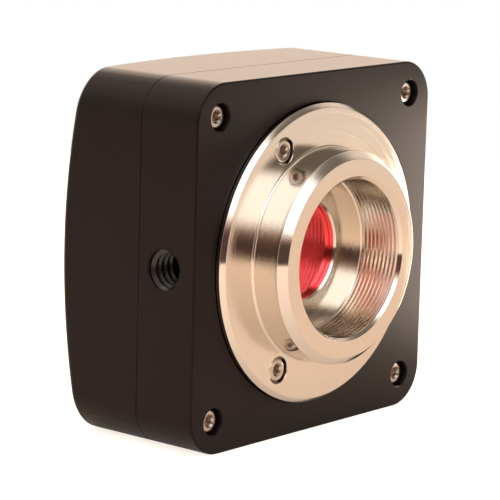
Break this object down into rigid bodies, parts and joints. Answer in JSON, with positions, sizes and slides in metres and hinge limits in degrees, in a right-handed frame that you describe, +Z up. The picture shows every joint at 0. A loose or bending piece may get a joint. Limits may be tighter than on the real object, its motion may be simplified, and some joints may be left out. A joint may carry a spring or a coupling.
{
  "type": "cmos camera",
  "caption": "Square camera head with a threaded lens bore in a round steel flange, an arched back and a threaded tripod hole in one side.",
  "frame": {"origin": "on the optical axis, in the plane of the housing's front face", "axes": "-Y out of the lens bore along the optical axis, +Z up, -X out of the tripod hole"},
  "size_m": [0.058, 0.0388, 0.058],
  "materials": {
    "black_anodised": "matt black anodised",
    "stainless_steel": "finely turned",
    "screw_steel": "bright",
    "filter_glass": "coated, red by reflection",
    "black_rubber": "matt",
    "ring_metal": "black anodised",
    "ceramic": "fired ceramic",
    "silicon": "polished silicon",
    "clear_glass": "clear",
    "circuit_board": "solder mask",
    "spacer_brass": "machined",
    "connector_plastic": "moulded",
    "chip_plastic": "moulded",
    "plated_can": "nickel plated",
    "ferrite": "pressed ferrite",
    "capacitor_plastic": "moulded",
    "port_plastic": "moulded",
    "contact_gold": "gold plated"
  },
  "bodies": {
    "root": {"front_housing": "black_anodised", "rear_cover": "black_anodised", "lens_mount": "stainless_steel", "mount_screws": "screw_steel", "housing_screws": "screw_steel", "filter_glass": "filter_glass", "filter_gasket": "black_rubber", "filter_retaining_ring": "ring_metal", "sensor_dust_seal": "black_rubber", "sensor_package": "ceramic", "sensor_die": "silicon", "sensor_cover_glass": "clear_glass", "sensor_board": "circuit_board", "board_spacers": "spacer_brass", "board_connector_plug": "connector_plastic", "board_connector_socket": "connector_plastic", "interface_board": "circuit_board", "board_screws": "screw_steel", "controller_chip": "chip_plastic", "memory_chip": "chip_plastic", "flash_chip": "chip_plastic", "crystal": "plated_can", "power_inductor": "ferrite", "tantalum_capacitors": "capacitor_plastic", "regulators": "chip_plastic", "usb_port_shell": "plated_can", "usb_port_insulator": "port_plastic", "usb_port_contacts": "contact_gold"}
  },
  "joints": []
}
